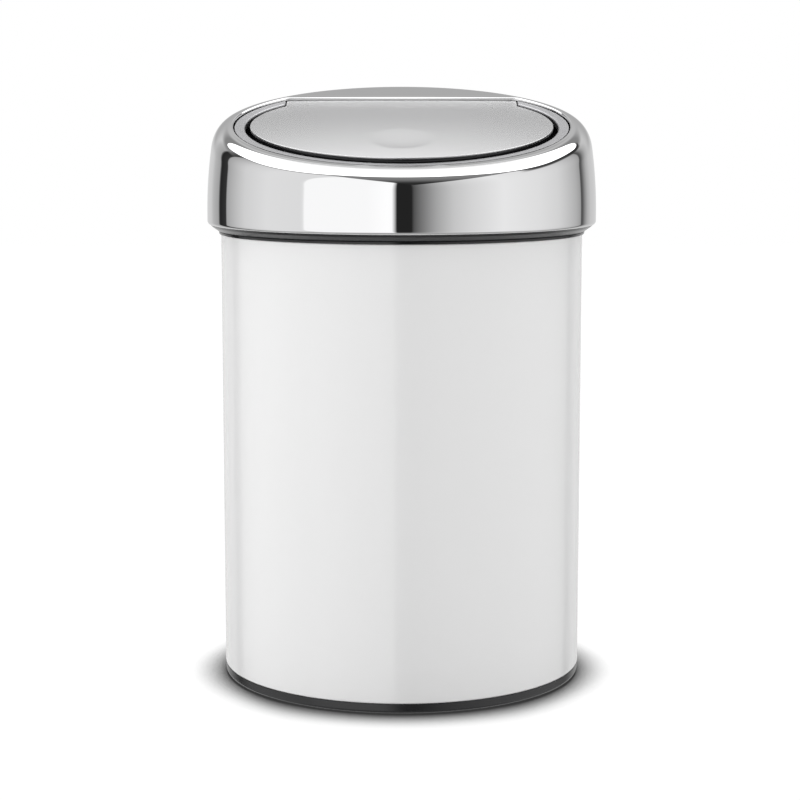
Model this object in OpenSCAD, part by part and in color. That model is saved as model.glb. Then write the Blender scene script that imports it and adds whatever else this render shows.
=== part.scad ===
// Countertop bin with a push-to-open lid: a painted steel tube on a black foot, a lift-out
// bucket, and a lid whose sloping top holds a sprung flap with a push-push latch.
// The origin is on the bin's axis, on the worktop. +Z is up and -Y is the front.

/* [Body] */
// Outside diameter of the steel tube
body_d = 172; // [160:1:184]
// Height of the steel tube
body_h = 207.9; // [170:0.1:260]
// Sheet thickness of the tube
body_sheet = 0.7; // [0.5:0.1:1]
// Depth of the hem folded inside the tube's top edge
hem_h = 6; // [4:0.5:10]
// Width of the flange turned in at the tube's lower edge
flange_w = 6; // [5:0.5:9]

/* [Foot] */
// Height of the black foot under the tube
foot_h = 5; // [4:0.1:8]
// Radius of the foot's rounded lower corner
foot_round = 1.8; // [1:0.1:3]
// How far the foot stands in from the tube
foot_set_in = 0.2; // [0.1:0.1:1]
// Wall thickness of the foot moulding
foot_wall = 1.6; // [1.2:0.1:2]
// Width of the foot moulding from its outside to its inner wall
foot_w = 13; // [11:0.5:18]
// Number of ribs under the foot
foot_ribs = 24; // [8:1:36]
// Width of the non-slip ring
grip_w = 2.4; // [1.5:0.1:3]
// How far the non-slip ring stands out under the foot
grip_proud = 0.5; // [0.3:0.1:1]
// Depth of the groove that holds the non-slip ring
grip_groove = 0.8; // [0.5:0.1:1.2]

/* [Bottom plate] */
// Sheet thickness of the pressed bottom plate
plate_sheet = 0.8; // [0.5:0.1:1]
// Height of the plate's upturned edge
plate_edge_h = 6; // [4:0.5:9]
// Height of the raised bead that carries the bucket
bead_h = 1.5; // [1:0.1:2.5]
// Width of the bead's flat top
bead_w = 7; // [5:0.5:10]

/* [Bucket] */
// How far the bucket's lip lies below the tube's top edge
lip_down = 7; // [6.5:0.1:12]
// Gap between the bucket's lip and the lid's spigot
lip_gap = 1.7; // [1:0.1:3]
// Taper of the bucket on each side, from its lip to its foot
bucket_taper = 7.5; // [2:0.5:12]
// Wall thickness of the bucket
bucket_wall = 1.4; // [1:0.1:1.8]
// How far the bucket's lip stands out from its wall
lip_w = 3.5; // [2.5:0.1:3.7]
// Depth of the lip's turned-down edge
lip_drop = 4; // [3:0.5:8]
// Thickness of each ear that holds the handle
ear_t = 3.8; // [3:0.1:4.5]
// Outside radius of each ear
ear_r = 4; // [3.5:0.1:4.5]
// How far each ear reaches down the bucket's wall
ear_root = 9; // [6:0.5:14]

/* [Handle] */
// Diameter of the handle's wire
wire_d = 3; // [2.5:0.1:3.4]
// Radius of the bend at each end of the handle
wire_bend = 2.6; // [2.2:0.1:4]
// Length of the swaged head at each end of the handle
wire_head = 0.8; // [0.5:0.1:1.5]

/* [Lid cover] */
// How far the lid stands out from the tube
lid_over = 6.5; // [6:0.1:10]
// Sheet thickness of the lid's cover
cover_sheet = 0.8; // [0.6:0.1:1]
// Height of the lid's sloping crown above the tube's top edge, at the axis
crown_h = 51.9; // [49:0.1:60]
// Slope of the crown in degrees, rising to the rear
crown_tilt = 12.2; // [10:0.1:13]
// Height of the rounded shoulder
shoulder_h = 9; // [7:0.5:12]
// Fullness of the shoulder, from slack to square
shoulder_full = 0.62; // [0.5:0.01:0.75]
// Inward sweep of the cover's wall for each square millimetre of height
wall_sweep = 0.0023; // [0.001:0.0001:0.003]
// Height of the cover's widest part above its lower edge
belly_h = 5.3; // [2:0.1:12]
// Width of the shoulder round the recess in the crown
shoulder_w = 12.7; // [12:0.1:15]
// Radius of the rolled front edge of the rear crescent
nose_r = 1.3; // [1:0.1:1.5]
// Width of the lip rolled in under the cover's wall
cover_lip_w = 2.6; // [2.4:0.1:3]
// Radius of the cover's rounded lower edge
cover_foot_round = 1.8; // [1.2:0.1:1.9]

/* [Flap surround] */
// Depth of the recess floor under the crown, at the axis
floor_drop = 1.15; // [0.9:0.05:1.5]
// Slope of the recess floor in degrees
floor_tilt = 12.2; // [10:0.1:13]
// Sheet thickness of the satin surround
surround_sheet = 0.8; // [0.6:0.1:1]
// Width of the surround, from the recess's edge to the opening
surround_w = 5.5; // [5:0.1:7.5]
// Depth of the lip turned down round the opening
opening_lip = 2.2; // [1.5:0.1:3]

/* [Lid frame] */
// Height of the black band between tube and cover
band_h = 4.3; // [3.5:0.1:6]
// How far the band's lower edge stands out from the tube
band_out = 0.9; // [0.4:0.1:1.5]
// Depth of the spigot inside the tube
spigot_h = 14; // [10:0.5:20]
// Wall thickness of the spigot
spigot_wall = 2; // [1.6:0.1:2]
// Thickness of the frame's deck
deck_t = 2; // [1.6:0.1:3]
// Height of the ring that centres the cover
centring_h = 8; // [5:0.5:12]
// Wall thickness of the ring that centres the cover
centring_wall = 1.9; // [1.5:0.1:2.5]
// Thickness of the throat's wall
throat_wall = 2; // [1.6:0.1:3]
// Number of ribs between the throat and the centring ring
frame_ribs = 18; // [9:1:30]
// Thickness of the frame's ribs
rib_t = 1.6; // [1.2:0.1:2.4]
// Width of the ledge under the flap's edge
ledge_w = 8.5; // [6:0.1:9]
// Thickness of the ledge under the flap's edge
ledge_t = 2; // [1.6:0.1:2.4]

/* [Flap] */
// Gap round the flap
flap_gap = 2.4; // [1.8:0.1:3]
// Height of the flap's top above the recess floor, at the axis
flap_rise = 0.45; // [0.2:0.05:0.6]
// Slope of the closed flap in degrees
flap_tilt = 11.1; // [10:0.1:12.5]
// Sheet thickness of the flap's cover
flap_sheet = 0.8; // [0.6:0.1:1]
// Depth of the edge turned down round the flap's cover
flap_edge = 1; // [1:0.1:1.5]
// Radius of the flap's rounded edge
flap_round = 0.9; // [0.9:0.1:1]
// Distance of the flap's bend line in front of the hinge
bend_ahead = 4.6; // [4:0.1:5.5]
// How far the flap's rear strip reaches behind the hinge
strip_behind = 2.3; // [1.5:0.1:2.6]
// Upward bend of the rear strip in degrees
strip_bend = 5.4; // [3:0.1:7]
// Distance of the touch dimple in front of the axis, along the flap
dimple_y = 26.5; // [18:0.5:35]
// Radius of the touch dimple
dimple_r = 15; // [10:0.5:18]
// Depth of the touch dimple
dimple_depth = 0.7; // [0.4:0.1:0.7]
// How far the liner's wall stands in from the flap's edge, inside the cover
liner_in = 1.2; // [1.1:0.1:1.6]
// Depth of the liner under the flap's cover
liner_h = 7; // [6:0.1:7.2]
// Thickness of the liner's plate
liner_t = 2; // [1.6:0.1:2.4]
// Width of the liner's rim
liner_rim = 2.3; // [1.6:0.1:3]
// Height of the ribs under the liner's plate
liner_rib_h = 2.6; // [1.5:0.1:3]
// Push that releases the latch, in degrees
push_deg = 1; // [0.5:0.1:1.1]

/* [Hinge] */
// Distance of the hinge's axis behind the bin's axis
hinge_y = 50.5; // [50:0.1:51.5]
// Diameter of the hinge pin
pin_d = 3; // [2.5:0.1:3.2]
// Outside radius of the flap's barrels
barrel_r = 4.2; // [3.8:0.1:4.4]
// Half the width of the gap left for the hinge spring
spring_gap = 12; // [11:0.5:16]
// Thickness of each bracket that holds the pin
bracket_t = 4.5; // [3:0.1:5]
// Thickness of the clips on the pin's ends
clip_t = 0.8; // [0.5:0.1:1]
// Outside radius of the clips on the pin's ends
clip_r = 3.6; // [3:0.1:4]
// Mean radius of the hinge spring's coil
hinge_coil_r = 3; // [2.8:0.1:3.2]
// Wire diameter of the hinge spring
hinge_wire_d = 1.1; // [0.9:0.1:1.2]
// Full turns of the hinge spring
hinge_turns = 5; // [4:1:6]
// Rise of the hinge spring's coil for each turn
hinge_pitch = 1.7; // [1.6:0.1:1.9]
// Length of the hinge spring's leg under the flap
hinge_leg_flap = 14; // [10:0.5:16]
// Length of the hinge spring's leg on the frame
hinge_leg_frame = 12; // [8:0.5:14]

/* [Latch] */
// Depth of the latch's housing from front to rear
latch_d = 12; // [12:0.5:13]
// Height of the latch's housing
latch_h = 19; // [18.5:0.5:21]
// Wall thickness of the latch's housing
latch_wall = 1.6; // [1.2:0.1:1.8]
// Depth of the slider's pad below the latch's mouth
pad_drop = 8; // [7.8:0.1:8.6]
// Thickness of the slider's pad
pad_t = 3; // [2.5:0.1:3.5]
// Travel of the slider when the flap opens
latch_travel = 4; // [3:0.1:4]
// Thickness of each sprung jaw
jaw_t = 1.2; // [0.8:0.1:1.4]
// Reach of each jaw's hook over the striker's head
jaw_hook = 2.4; // [2:0.1:2.6]
// Half the width of the striker's head
head_w = 3.8; // [3.4:0.1:4]
// Half the width of the striker's stem
stem_w = 1.7; // [1.4:0.1:1.9]
// Width of the striker from front to rear
striker_d = 4; // [3:0.1:5]
// Shank diameter of the small screws
screw_d = 2.9; // [2.2:0.1:3.2]
// Head diameter of the small screws
screw_head_d = 5.2; // [4.5:0.1:5.4]
// Mean radius of the latch spring's coil
latch_coil_r = 2.2; // [2:0.1:2.4]
// Wire diameter of the latch spring
latch_wire_d = 0.6; // [0.5:0.1:0.7]
// Full turns of the latch spring
latch_turns = 5; // [4:1:5]
// Diameter of the cam follower's wire
follower_d = 0.9; // [0.7:0.1:1]

/* [Clearances] */
// Gap between the flap's opening and the throat's wall under it
throat_gap = 2.2; // [1.8:0.1:2.4]
// Gap between parts that are pushed together
snug = 0.1; // [0.05:0.05:0.15]
// Gap between parts that slide or lift apart
slide_gap = 0.4; // [0.3:0.05:0.5]
// Radial gap round the pin and the handle's ends
pin_gap = 0.08; // [0.05:0.01:0.1]
// Gap in the line round the satin surround
line_gap = 0.2; // [0.1:0.05:0.3]
// Gap between the flap's barrels and what lies over, under or beside them
barrel_gap = 0.7; // [0.5:0.05:0.9]
// Gap between the flap's rear strip and the crescent's rolled edge
nose_gap = 1.5; // [1.2:0.1:2]

/* [Hidden] */
$fn = 180;
FINE = 48;

BIG = 400;
CUT = 1;

// Tube and bottom plate
body_r = body_d / 2;
body_bore = body_r - body_sheet;
hem_bore = body_r - 2 * body_sheet;
tube_foot = foot_h;
tube_top = foot_h + body_h;
flange_bore = body_r - flange_w;
plate_z = tube_foot + body_sheet;
plate_r = body_bore - snug;

// Foot: pushed on under the tube's flange
foot_r = body_r - foot_set_in;
foot_in = foot_r - foot_w;
foot_web = foot_h - foot_wall;
upstand_r = flange_bore - snug;
grip_mid = foot_r - foot_round - foot_wall - grip_w / 2;
grip_wall = grip_mid - grip_w / 2 - foot_wall;

// Lid: its band stands on the tube's top edge, and its spigot reaches inside
lid_r = body_r + lid_over;
band_z = tube_top;
cover_z = tube_top + band_h;
belly_z = cover_z + belly_h;
spigot_r = hem_bore - slide_gap;
spigot_bore = spigot_r - spigot_wall;
cover_lip_r = lid_r - cover_lip_w;
band_top_r = cover_lip_r + 1.2;
centring_r = cover_lip_r - slide_gap;
crown_z = tube_top + crown_h;
floor_z = crown_z - floor_drop;
flap_z = floor_z + flap_rise;
crown_slope = tan(crown_tilt);
floor_slope = tan(floor_tilt);
flap_slope = tan(flap_tilt);
recess_r = lid_r - shoulder_w;
opening_r = recess_r - surround_w;
throat_r = opening_r + throat_gap;

// Bucket: it stands on the plate's bead, and its lip lies inside the spigot
bucket_z = plate_z + plate_sheet + bead_h;
lip_z = tube_top - lip_down;
lip_r = spigot_bore - lip_gap;
bucket_top_r = lip_r - lip_w;
bucket_foot_r = bucket_top_r - bucket_taper;
bead_mid = bucket_foot_r - 8;
bead_in = bead_mid - bead_w / 2;
bead_out = bead_mid + bead_w / 2;

// Handle: its wire lies over the bucket's lip, outside the ears
wire_r = wire_d / 2;
handle_z = lip_z + wire_r + slide_gap;
handle_r = lip_r - wire_r;
ear_out = handle_r - wire_bend - snug;
ear_in = ear_out - ear_t;
head_end = ear_in - slide_gap - wire_head;

// Flap
flap_r = opening_r - flap_gap;
bend_y = hinge_y / cos(flap_tilt) - bend_ahead;
strip_l = bend_ahead + strip_behind;
strip_w = sqrt(flap_r * flap_r - bend_y * bend_y);
opening_side = sqrt(opening_r * opening_r - bend_y * bend_y);
liner_top = flap_sheet + dimple_depth + snug;
liner_low = liner_top + liner_t;
liner_r = flap_r - liner_in;
liner_face_r = flap_r - snug;
liner_rear = bend_y - 2;
push_drop = (hinge_y + liner_r) * sin(push_deg);
ledge_drop = liner_h + push_drop + slide_gap;

// Hinge: its barrels lie under the flap's cover, and its pin ends inside the flap's edge
hinge_drop = barrel_r + flap_sheet + barrel_gap;
hinge_z = flap_z + flap_slope * hinge_y - hinge_drop;
pin_r = pin_d / 2;
pin_end = strip_w - flap_sheet;
clip_x = pin_end - barrel_gap - clip_t;
bracket_x = clip_x - snug - bracket_t;
barrel_end = bracket_x - barrel_gap;
chord_in = hinge_y - throat_wall / 2;
chord_out = hinge_y + throat_wall / 2;
wall_top = hinge_z - barrel_r - barrel_gap;

// The hinge spring's legs press up under the liner and back on the throat's wall
hinge_wire_r = hinge_wire_d / 2;
leg_high = flap_z + flap_slope * (hinge_y - hinge_leg_flap) - liner_low / cos(flap_tilt);
leg_up = asin((leg_high - slide_gap - hinge_wire_r - hinge_z + hinge_coil_r) / hinge_leg_flap);
leg_back = asin((hinge_coil_r - throat_wall / 2 - hinge_wire_r - line_gap) / hinge_leg_frame);
coil_from = -leg_up;
coil_to = 360 * hinge_turns + 270 + leg_back;
coil_steps = ceil((coil_to - coil_from) / 45);
coil_len = hinge_pitch * (coil_to - coil_from) / 360;
leg_x = coil_len / 2;
coil_path = [
  for (i = [0:coil_steps])
    let (a = coil_from + (coil_to - coil_from) * i / coil_steps)
      [coil_len * (0.5 - i / coil_steps), hinge_y + hinge_coil_r * sin(a), hinge_z - hinge_coil_r * cos(a)]
];
hinge_path = concat(
  [coil_path[0] + hinge_leg_flap * [0, -cos(coil_from), -sin(coil_from)]],
  coil_path,
  [coil_path[coil_steps] + hinge_leg_frame * [0, cos(coil_to), sin(coil_to)]]
);

// Rear crescent: its rolled edge hangs over the flap's rear strip
nose_y = (bend_y + strip_l) * cos(flap_tilt) + nose_gap;

// Striker: a plate screwed under the liner, with a stem that reaches into the latch
plate_w = 6;
plate_d = 4;
striker_plate = 1.6;
boss_h = 1;
latch_plan = liner_r - liner_rim - plate_d - 1.3;

// Latch: it leans so that its slide is square to the hinge's radius
latch_drop = (liner_low + boss_h + striker_plate) / cos(flap_tilt) + push_drop + 2 * slide_gap;
latch_y = (latch_plan - latch_drop * sin(flap_tilt)) * cos(flap_tilt);
latch_z = flap_z - flap_slope * latch_y - latch_drop;
latch_tilt = atan((hinge_z - latch_z) / (hinge_y + latch_y));
jaw_x = head_w + 1;
jaw_room = 1.4;
cavity_w = jaw_x + jaw_t + jaw_room;
cavity_d = latch_d / 2 - latch_wall;
cavity_h = latch_h - latch_wall;
latch_w = 2 * (cavity_w + latch_wall + 0.5);
head_low = pad_drop - push_drop - slide_gap;
head_top = head_low - 2.8;
hook_low = head_top - slide_gap;
hook_top = hook_low - 1.2;
screw_r = screw_d / 2;
screw_head_r = screw_head_d / 2;
screw_l = 6;
lug_x = latch_w / 2 + screw_head_r + line_gap;
lug_w = lug_x + screw_head_r + slide_gap;
lug_t = latch_wall + 0.6;
lug_h = 8;
spring_y = 0.8;
cam_wall = 1.2;
cam_groove = 0.7;
cam_y = slide_gap - cavity_d;
follower_r = follower_d / 2;
slider_w = cavity_w - 0.3;
slider_d = cavity_d - 0.3;
pad_low = pad_drop + pad_t;
spring_peg_r = latch_coil_r - latch_wire_d;
latch_wire_r = latch_wire_d / 2;
latch_coil_l = cavity_h - pad_low - latch_wire_d - 0.2;

latch_path = [
  for (i = [0:8 * latch_turns])
    [
      latch_coil_r * cos(45 * i), spring_y + latch_coil_r * sin(45 * i),
      -cavity_h + latch_wire_r + 0.1 + latch_coil_l * i / (8 * latch_turns)
    ]
];

// Stop buffers: plugged into the ledge, one on each side of the latch
buffer_x = 30;
buffer_y = sqrt(pow(throat_r - 4, 2) - buffer_x * buffer_x);
buffer_r = 3;
buffer_stem = 1.5;
buffer_h = 1;

// ---- Shared shapes ----

// Points of an arc about c, from angle a to angle b
function arc(c, r, a, b, n = 8) =
  [for (i = [0:n]) c + r * [cos(a + (b - a) * i / n), sin(a + (b - a) * i / n)]];

function unit(v) = v / norm(v);

// Direction of travel at point i of a path
function heading(p, i) = unit(p[min(i + 1, len(p) - 1)] - p[max(i - 1, 0)]);

// Round wire swept along a path whose direction stays clear of the axis ref
module wire(p, r, ref, sides = 6) {
  rings = [
    for (i = [0:len(p) - 1])
      let (t = heading(p, i), u = unit(cross(t, ref)), v = cross(t, u))
        for (k = [0:sides - 1])
          p[i] + r * (cos(360 * k / sides) * u + sin(360 * k / sides) * v)
  ];
  last = (len(p) - 1) * sides;
  skin = [
    for (i = [0:len(p) - 2], k = [0:sides - 1])
      let (a = i * sides + k, b = i * sides + (k + 1) % sides)
        each [[a, b + sides, b], [a, a + sides, b + sides]]
  ];
  caps = [
    for (k = [1:sides - 2])
      each [[0, k, k + 1], [last, last + k + 1, last + k]]
  ];
  polyhedron(rings, concat(skin, caps));
}

// Smallest free gap between turns of a coil, from points half a turn or more apart
function coil_gap(p, r, turn) =
  min([for (i = [0:len(p) - 1], j = [i + turn:1:len(p) - 1]) norm(p[i] - p[j])]) - 2 * r;

// Cylinder along X, from a to b
module x_rod(r, a, b, y = 0, z = 0) {
  translate([a, y, z]) rotate([0, 90, 0]) cylinder(h = b - a, r = r, $fn = FINE);
}

// Fine cylinder that rises from a to b
module z_rod(r, a, b) {
  translate([0, 0, a]) cylinder(h = b - a, r = r, $fn = FINE);
}

// Fine cylinder that runs forward from a to b
module front_rod(r, a, b) {
  rotate([90, 0, 0]) z_rod(r, a, b);
}

// Box with the corners a and b
module block(a, b) {
  translate(a) cube(b - a);
}

module both_sides() {
  children();
  mirror([1, 0, 0]) children();
}

module flap_frame() {
  translate([0, 0, flap_z]) rotate([flap_tilt, 0, 0]) children();
}

module floor_frame() {
  translate([0, 0, floor_z]) rotate([floor_tilt, 0, 0]) children();
}

module latch_frame() {
  translate([0, -latch_y, latch_z]) rotate([latch_tilt, 0, 0]) children();
}

// Places of the latch's two screws, on the rear face of the frame's mount
module at_screws() {
  for (x = [-lug_x, lug_x])
    latch_frame() translate([x, -latch_d / 2, -latch_h / 2]) children();
}

// Places of the two stop buffers, on top of the ledge
module at_buffers() {
  for (x = [-buffer_x, buffer_x])
    flap_frame() translate([x, -buffer_y, -ledge_drop]) children();
}

// Flat D: a disc cut off behind the line y
module d_outline(r, y) {
  intersection() {
    circle(r);
    translate([-r - CUT, -r - CUT]) square([2 * (r + CUT), r + CUT + y]);
  }
}

// ---- Body ----

module body_shell() {
  color("white")
  rotate_extrude() polygon([
    [flange_bore, tube_foot], [body_r, tube_foot], [body_r, tube_top],
    [hem_bore, tube_top], [hem_bore, tube_top - hem_h], [body_bore, tube_top - hem_h],
    [body_bore, plate_z], [flange_bore, plate_z]
  ]);
}

module bottom_plate() {
  low = plate_z;
  top = plate_z + plate_sheet;
  color("silver")
  rotate_extrude() polygon([
    [0, low], [bead_in - bead_h, low], [bead_in, low + bead_h], [bead_out, low + bead_h],
    [bead_out + bead_h, low], [plate_r, low], [plate_r, low + plate_edge_h],
    [plate_r - plate_sheet, low + plate_edge_h], [plate_r - plate_sheet, top],
    [bead_out + bead_h, top], [bead_out, top + bead_h], [bead_in, top + bead_h],
    [bead_in - bead_h, top], [0, top]
  ]);
}

module base_foot() {
  color("black")
  difference() {
    union() {
      rotate_extrude() polygon(concat(
        [[grip_wall, grip_proud]],
        arc([foot_r - foot_round, grip_proud + foot_round], foot_round, -90, 0, 6),
        [
          [foot_r, foot_h], [upstand_r, foot_h], [upstand_r, plate_z],
          [upstand_r - foot_wall, plate_z], [upstand_r - foot_wall, foot_h],
          [foot_in, foot_h], [foot_in, grip_proud + 1], [foot_in + foot_wall, grip_proud + 1],
          [foot_in + foot_wall, foot_web], [grip_wall, foot_web]
        ]
      ));
      for (i = [0:foot_ribs - 1])
        rotate([0, 0, 360 * i / foot_ribs])
          translate([foot_in + foot_wall / 2, -foot_wall / 2, grip_proud + 1])
            cube([grip_wall - foot_in, foot_wall, foot_web - grip_proud]);
    }
    rotate_extrude()
      translate([grip_mid - grip_w / 2, grip_proud - CUT]) square([grip_w, grip_groove + CUT]);
  }
}

module grip_ring() {
  color("dimgray")
  rotate_extrude()
    translate([grip_mid - grip_w / 2 + snug / 2, 0])
      square([grip_w - snug, grip_proud + grip_groove]);
}

// ---- Bucket and handle ----

module inner_bucket() {
  w = bucket_wall;
  color("dimgray")
  difference() {
    union() {
      rotate_extrude() polygon(concat(
        [[0, bucket_z + 1], [bead_in - 3, bucket_z + 1], [bead_in - 2, bucket_z]],
        arc([bucket_foot_r - 4, bucket_z + 4], 4, -90, 0, 6),
        [
          [bucket_top_r, lip_z - w], [lip_r - w, lip_z - w], [lip_r - w, lip_z - lip_drop],
          [lip_r, lip_z - lip_drop], [lip_r, lip_z], [bucket_top_r - w, lip_z]
        ],
        arc([bucket_foot_r - 4, bucket_z + 4], 4 - w, 0, -90, 6),
        [[bead_in - 2, bucket_z + w], [bead_in - 3, bucket_z + 1 + w], [0, bucket_z + 1 + w]]
      ));
      both_sides() {
        x_rod(ear_r, ear_in, ear_out, 0, handle_z);
        translate([ear_in, -ear_r, lip_z - ear_root])
          cube([ear_out - ear_in, 2 * ear_r, handle_z - lip_z + ear_root]);
      }
    }
    both_sides() x_rod(wire_r + pin_gap, ear_in - CUT, ear_out + CUT, 0, handle_z);
  }
}

// The wire swells a little where it is bent
module bucket_handle() {
  swell = 0.04;
  overlap = 0.2;
  inner = handle_r - wire_bend;
  span = asin(wire_bend / inner);
  bend_x = inner * cos(span);
  color("silver")
  translate([0, 0, handle_z]) {
    rotate([0, 0, 180 + span - overlap])
      rotate_extrude(angle = 180 - 2 * span + 2 * overlap)
        translate([handle_r, 0]) circle(wire_r, $fn = FINE);
    both_sides() {
      translate([bend_x, -wire_bend, 0]) rotate([0, 0, -span])
        rotate_extrude(angle = 90 + span)
          translate([wire_bend, 0]) circle(wire_r + swell, $fn = FINE);
      x_rod(wire_r, head_end, bend_x + 0.3);
      x_rod(wire_r + 0.5, head_end, head_end + wire_head);
    }
  }
}

// ---- Lid cover ----

// Radius of the cover's outside at height z
function wall_r(z) = lid_r - wall_sweep * pow(max(z - belly_z, 0), 2);

// Height of the crown at distance y behind the axis
function crown(y) = crown_z + crown_slope * y;

// Plan distance, along direction a, of a circle of radius r drawn on the recess floor
function on_floor(r, a) = r / norm([cos(a), sin(a) / cos(floor_tilt)]);

// Where the crown's plane would meet the wall, along direction a
function corner_r(a, r, n = 6) = n == 0 ? r : corner_r(a, wall_r(crown(r * sin(a))), n - 1);

// Plan distance of the recess's edge: round, and straight along the hinge
function recess_edge(a) =
  sin(a) > 0 ? min(on_floor(recess_r, a), nose_y / sin(a)) : on_floor(recess_r, a);

// Drop from the crown to the recess floor, no deeper than the rolled nose
function edge_round(a) =
  let (y = recess_edge(a) * sin(a))
    min(max(crown(y) - floor_z - floor_slope * y, 0.15), nose_r);

// Shoulder curve set in by off, from the crown down to the wall, as [distance, height]
function shoulder(a, off, n) =
  let (
    s = sin(a),
    r0 = on_floor(recess_r, a) + edge_round(a) + off * 0.6,
    rc = corner_r(a, lid_r),
    p0 = [r0, crown(r0 * s) - off],
    c = [rc - off, crown(rc * s) - off],
    z1 = crown(rc * s) - shoulder_h,
    p3 = [wall_r(z1) - off, z1],
    p1 = p0 + shoulder_full * (c - p0),
    p2 = p3 + shoulder_full * (c - p3)
  )
  [for (i = [0:n]) let (t = i / n, u = 1 - t)
    u * u * u * p0 + 3 * u * u * t * p1 + 3 * u * t * t * p2 + t * t * t * p3];

// Closed outline of the cover's sheet in the upright plane of direction a
function cover_section(a, nw, ns) =
  let (
    s = sin(a),
    t = cover_sheet,
    e = recess_edge(a),
    q = edge_round(a),
    edge = max(q, t) + 0.15,
    outer = shoulder(a, 0, ns),
    inner = shoulder(a, t, ns),
    z1 = outer[ns][1],
    zc = crown(e * s),
    f = cover_foot_round,
    foot = cover_z + f
  )
  concat(
    arc([lid_r - f, foot], f, -90, 0, 3),
    [for (i = [1:nw - 1]) let (z = foot + (z1 - foot) * i / nw) [wall_r(z), z]],
    [for (i = [ns:-1:0]) outer[i]],
    [
      [e + q, crown((e + q) * s)],
      [e + 0.3 * q, crown((e + 0.3 * q) * s) - 0.3 * q],
      [e, zc - q],
      [e, zc - edge],
      [e + t, zc - edge],
      [e + t + 0.4, crown((e + t + 0.4) * s) - t]
    ],
    inner,
    [for (i = [nw - 1:-1:1]) let (z = foot + (z1 - foot) * i / nw) [wall_r(z) - t, z]],
    arc([lid_r - f, foot], f - t, 0, -90, 2),
    [[cover_lip_r, cover_z + t], [cover_lip_r, cover_z]]
  );

// Its sections stand closer behind, and one stands at each end of the hinge's straight edge
module lid_cover() {
  corner = atan2(nose_y, sqrt(recess_r * recess_r - pow(nose_y / cos(floor_tilt), 2)));
  behind = 20;
  ahead = 52;
  turns = behind + ahead;
  angles = concat(
    [for (i = [0:behind - 1]) corner + (180 - 2 * corner) * i / behind],
    [for (i = [0:ahead - 1]) 180 - corner + (180 + 2 * corner) * i / ahead]
  );
  sections = [for (a = angles) cover_section(a, 5, 7)];
  n = len(sections[0]);
  points = [
    for (i = [0:turns - 1], p = sections[i]) [p[0] * cos(angles[i]), p[0] * sin(angles[i]), p[1]]
  ];
  faces = [
    for (i = [0:turns - 1], k = [0:n - 1])
      let (
        a = i * n + k, b = i * n + (k + 1) % n,
        c = ((i + 1) % turns) * n + (k + 1) % n, d = ((i + 1) % turns) * n + k
      )
      each [[a, b, c], [a, c, d]]
  ];
  color("gainsboro") polyhedron(points, faces);
}

// ---- Satin surround of the flap ----

module flap_surround() {
  rear = nose_y / cos(floor_tilt) - 1;
  color("silver")
  floor_frame() {
    translate([0, 0, -surround_sheet]) linear_extrude(surround_sheet) difference() {
      d_outline(recess_r - line_gap, rear);
      circle(opening_r);
      translate([-opening_side, 0]) square([2 * opening_side, rear + CUT]);
    }
    translate([0, 0, -surround_sheet - opening_lip]) linear_extrude(opening_lip + surround_sheet / 2)
      difference() {
        d_outline(opening_r + surround_sheet, bend_y);
        circle(opening_r);
      }
  }
}

// ---- Lid frame ----

module frame_ring() {
  rotate_extrude() polygon([
    [spigot_bore, band_z - spigot_h], [spigot_r - 0.5, band_z - spigot_h],
    [spigot_r, band_z - spigot_h + 2], [spigot_r, band_z],
    [body_r + band_out, band_z], [body_r + band_out + 0.2, band_z + 1],
    [body_r + band_out, band_z + 1.1], [band_top_r - 1, cover_z - 1],
    [band_top_r, cover_z], [centring_r, cover_z], [centring_r, cover_z + centring_h],
    [centring_r - centring_wall, cover_z + centring_h], [centring_r - centring_wall, cover_z],
    [throat_r, cover_z], [throat_r, cover_z - deck_t], [spigot_bore, cover_z - deck_t]
  ]);
}

// Everything under the surround's sheet
module under_floor(drop) {
  intersection() {
    children();
    floor_frame() translate([-BIG / 2, -BIG / 2, -BIG - drop]) cube([BIG, BIG, BIG]);
  }
}

module throat() {
  lift = cover_z - deck_t;
  under_floor(surround_sheet) difference() {
    translate([0, 0, lift]) linear_extrude(BIG / 4) difference() {
      d_outline(throat_r + throat_wall, chord_out);
      d_outline(throat_r, chord_in);
    }
    block([-throat_r, chord_in - CUT, wall_top], [throat_r, chord_out + CUT, BIG]);
  }
  // the deck closes the space behind the hinge wall
  translate([0, 0, lift]) linear_extrude(deck_t) difference() {
    circle(throat_r + CUT);
    d_outline(throat_r + 2 * CUT, chord_in);
  }
}

module flap_ledge() {
  flap_frame() translate([0, 0, -ledge_drop - ledge_t]) linear_extrude(ledge_t) difference() {
    d_outline(throat_r + 0.8, bend_y - 5);
    circle(throat_r - ledge_w);
  }
}

module ribs() {
  for (i = [0:frame_ribs - 1])
    rotate([0, 0, 360 * (i + 0.5) / frame_ribs])
      translate([throat_r + throat_wall / 2, -rib_t / 2, cover_z - CUT])
        cube([centring_r - centring_wall / 2 - throat_r - throat_wall / 2, rib_t, centring_h + CUT]);
}

module hinge_brackets() {
  out = bracket_x + bracket_t;
  both_sides() {
    x_rod(barrel_r, bracket_x, out, hinge_y, hinge_z);
    block([bracket_x, hinge_y - barrel_r, wall_top - 4], [out, hinge_y + barrel_r, hinge_z]);
  }
}

module latch_mount() {
  intersection() {
    latch_frame() block([-lug_w, -BIG / 8, 1 - latch_h], [lug_w, -latch_d / 2, -3]);
    cylinder(h = BIG, r = throat_r + CUT);
  }
}

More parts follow.
